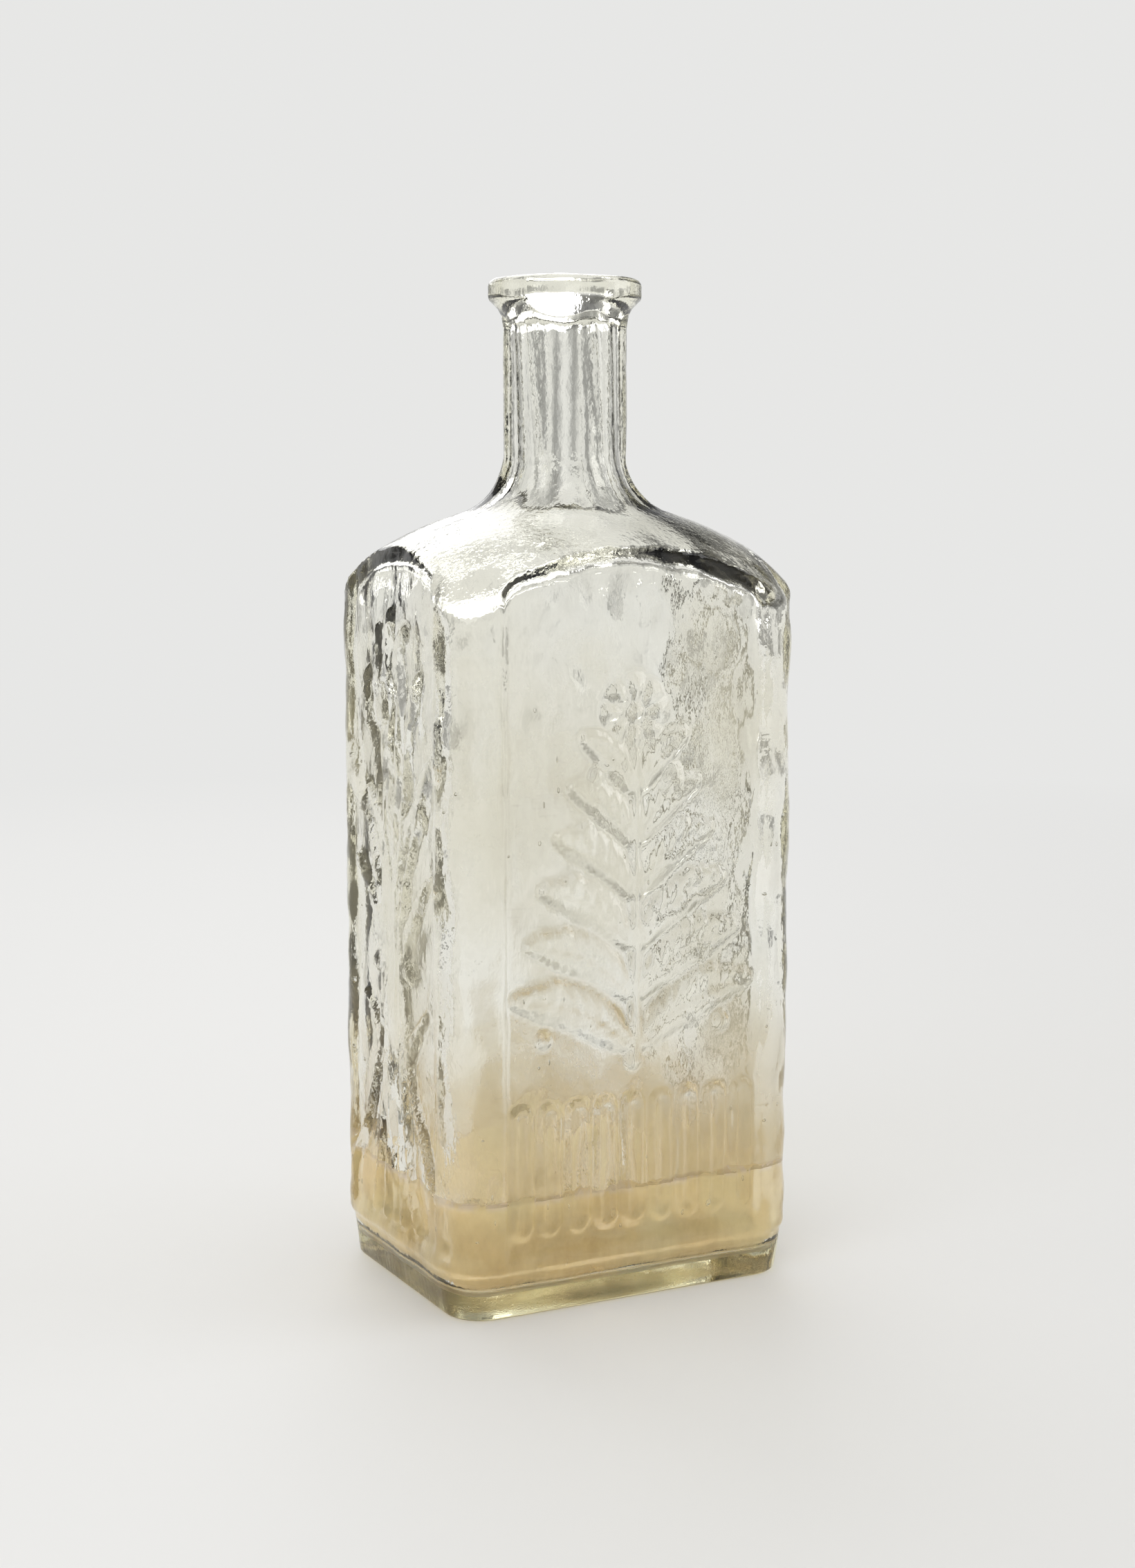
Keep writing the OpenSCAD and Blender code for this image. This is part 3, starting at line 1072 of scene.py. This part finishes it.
def floor_material():
    """Pale and matt near the bottle; far off, what is seen of it is the backdrop's colour."""
    material, tree, shader = new_material("pale_floor")
    shader.inputs["Base Color"].default_value = (0.78, 0.775, 0.76, 1)
    shader.inputs["Roughness"].default_value = 0.6
    glow = tree.nodes.new("ShaderNodeEmission")
    glow.inputs["Color"].default_value = (*PALE, 1)
    place = tree.nodes.new("ShaderNodeTexCoord")
    far = tree.nodes.new("ShaderNodeVectorMath")
    far.operation = "LENGTH"
    tree.links.new(place.outputs["Object"], far.inputs[0])
    share = remap(tree, far.outputs["Value"], (FLOOR_NEAR, FLOOR_FAR), (0.0, 1.0))
    share = maths(tree, "MULTIPLY", share, seen_rays(tree))
    mix_shaders(tree, share, shader, glow, "Material Output")
    return material


bpy.ops.mesh.primitive_circle_add(vertices=96, radius=FLOOR_R, fill_type="TRIFAN")
studio_floor = bpy.context.object
studio_floor.name = "studio_floor"
studio_floor.location.z = -FLOOR_DROP
studio_floor.data.materials.append(floor_material())
print("the floor is", 2 * FLOOR_R, "metres across")

# %% Surround
STRIPS, STRIP_TURN = 8, math.radians(62.8)
STRIP_DARK, BAND_DARK = 0.38, 0.35


def strip_waves(tree, x, y):
    """Waves round the compass, with one crest right behind the bottle."""
    around = maths(tree, "ARCTAN2", y, x)
    turned = tree.nodes.new("ShaderNodeMath")
    turned.operation = "MULTIPLY_ADD"
    tree.links.new(around, turned.inputs[0])
    turned.inputs[1].default_value = STRIPS
    turned.inputs[2].default_value = -STRIPS * STRIP_TURN
    strips = tree.nodes.new("ShaderNodeMath")
    strips.operation = "COSINE"
    tree.links.new(turned.outputs[0], strips.inputs[0])
    return strips.outputs[0]


def surround(tree):
    """Plain to the camera; the glass also finds dark strips and a darker band above."""
    place = tree.nodes.new("ShaderNodeTexCoord")
    split = tree.nodes.new("ShaderNodeSeparateXYZ")
    tree.links.new(place.outputs["Generated"], split.inputs[0])
    x, y, z = split.outputs
    strips = remap(tree, strip_waves(tree, x, y), (-0.9, 0.92), (STRIP_DARK, 1.0))
    band = remap(tree, z, (0.22, 0.34), (1.0, BAND_DARK))
    overhead = remap(tree, z, (0.62, 0.80), (0.0, 1.0))
    bright = maths(tree, "MAXIMUM", maths(tree, "MULTIPLY", strips, band), overhead)
    path = tree.nodes.new("ShaderNodeLightPath")
    bright = maths(tree, "MAXIMUM", bright, path.outputs["Is Camera Ray"])
    mix = tree.nodes.new("ShaderNodeMix")
    mix.data_type = "RGBA"
    tree.links.new(bright, mix.inputs["Factor"])
    mix.inputs[COLOUR_A].default_value = (0, 0, 0, 1)
    mix.inputs[COLOUR_B].default_value = (*PALE, 1)
    return mix.outputs[COLOUR_OUT]


# %% World
WORLD_LIGHT = (0.62, 0.62, 0.62, 1)

world = bpy.data.worlds.new("studio")
world.use_nodes = True
bpy.context.scene.world = world
sky = world.node_tree
falling = sky.nodes["Background"]
falling.inputs["Color"].default_value = WORLD_LIGHT
shown = sky.nodes.new("ShaderNodeBackground")
sky.links.new(surround(sky), shown.inputs["Color"])
mix_shaders(sky, seen_rays(sky), falling, shown, "World Output")
print("the surround has", STRIPS, "strips")

# %% [markdown]
# The lamps are large squares, so that their reflections are soft patches. The key stands
# at the front left, a weaker fill at the front right, and one behind lights the edges.

# %% Lamps
AIM = Vector((0, 0, 0.11))
LAMPS = (
    ("key", (-0.75, -0.55, 0.85), 0.85, 5.0),
    ("fill", (0.9, -0.35, 0.55), 0.7, 2.5),
    ("back", (0.15, 0.9, 0.75), 0.85, 4.0),
)


def lamp(name, place, size, power):
    """A square soft lamp that faces the middle of the bottle."""
    light = bpy.data.lights.new(name, "AREA")
    light.size = size
    light.energy = power
    lamp_object = bpy.data.objects.new(name, light)
    lamp_object.location = place
    lamp_object.rotation_euler = (AIM - Vector(place)).to_track_quat("-Z", "Y").to_euler()
    bpy.context.collection.objects.link(lamp_object)


for name, place, size, power in LAMPS:
    lamp(name, place, size, power)
print("lamps:", [name for name, *_ in LAMPS])

# %% [markdown]
# ## The camera
# The lens and place were fitted to the photograph: from the bottle's front left, level
# with the upper shoulder and tipped down a little. The photograph's width and the focal
# length in its pixels give the lens.

# %% Camera
PHOTO_W, FOCAL_PX, SENSOR_W = 1641, 3500, 36.0
CAMERA_TURN, CAMERA_TILT, CAMERA_YAW = (math.radians(a) for a in (27.2, 7.29, 0.06))
CAMERA_FAR, CAMERA_UP = 0.5252, 0.1742

lens = bpy.data.cameras.new("camera")
lens.sensor_fit = "HORIZONTAL"
lens.sensor_width = SENSOR_W
lens.lens = SENSOR_W * FOCAL_PX / PHOTO_W
camera = bpy.data.objects.new("camera", lens)
camera.location.x = -math.sin(CAMERA_TURN) * CAMERA_FAR
camera.location.y = -math.cos(CAMERA_TURN) * CAMERA_FAR
camera.location.z = CAMERA_UP
camera.rotation_euler = (math.pi / 2 - CAMERA_TILT, 0, -CAMERA_TURN - CAMERA_YAW)
bpy.context.collection.objects.link(camera)
bpy.context.scene.camera = camera
bpy.context.scene.view_settings.view_transform = "Standard"
print("lens", round(lens.lens, 1), "mm")
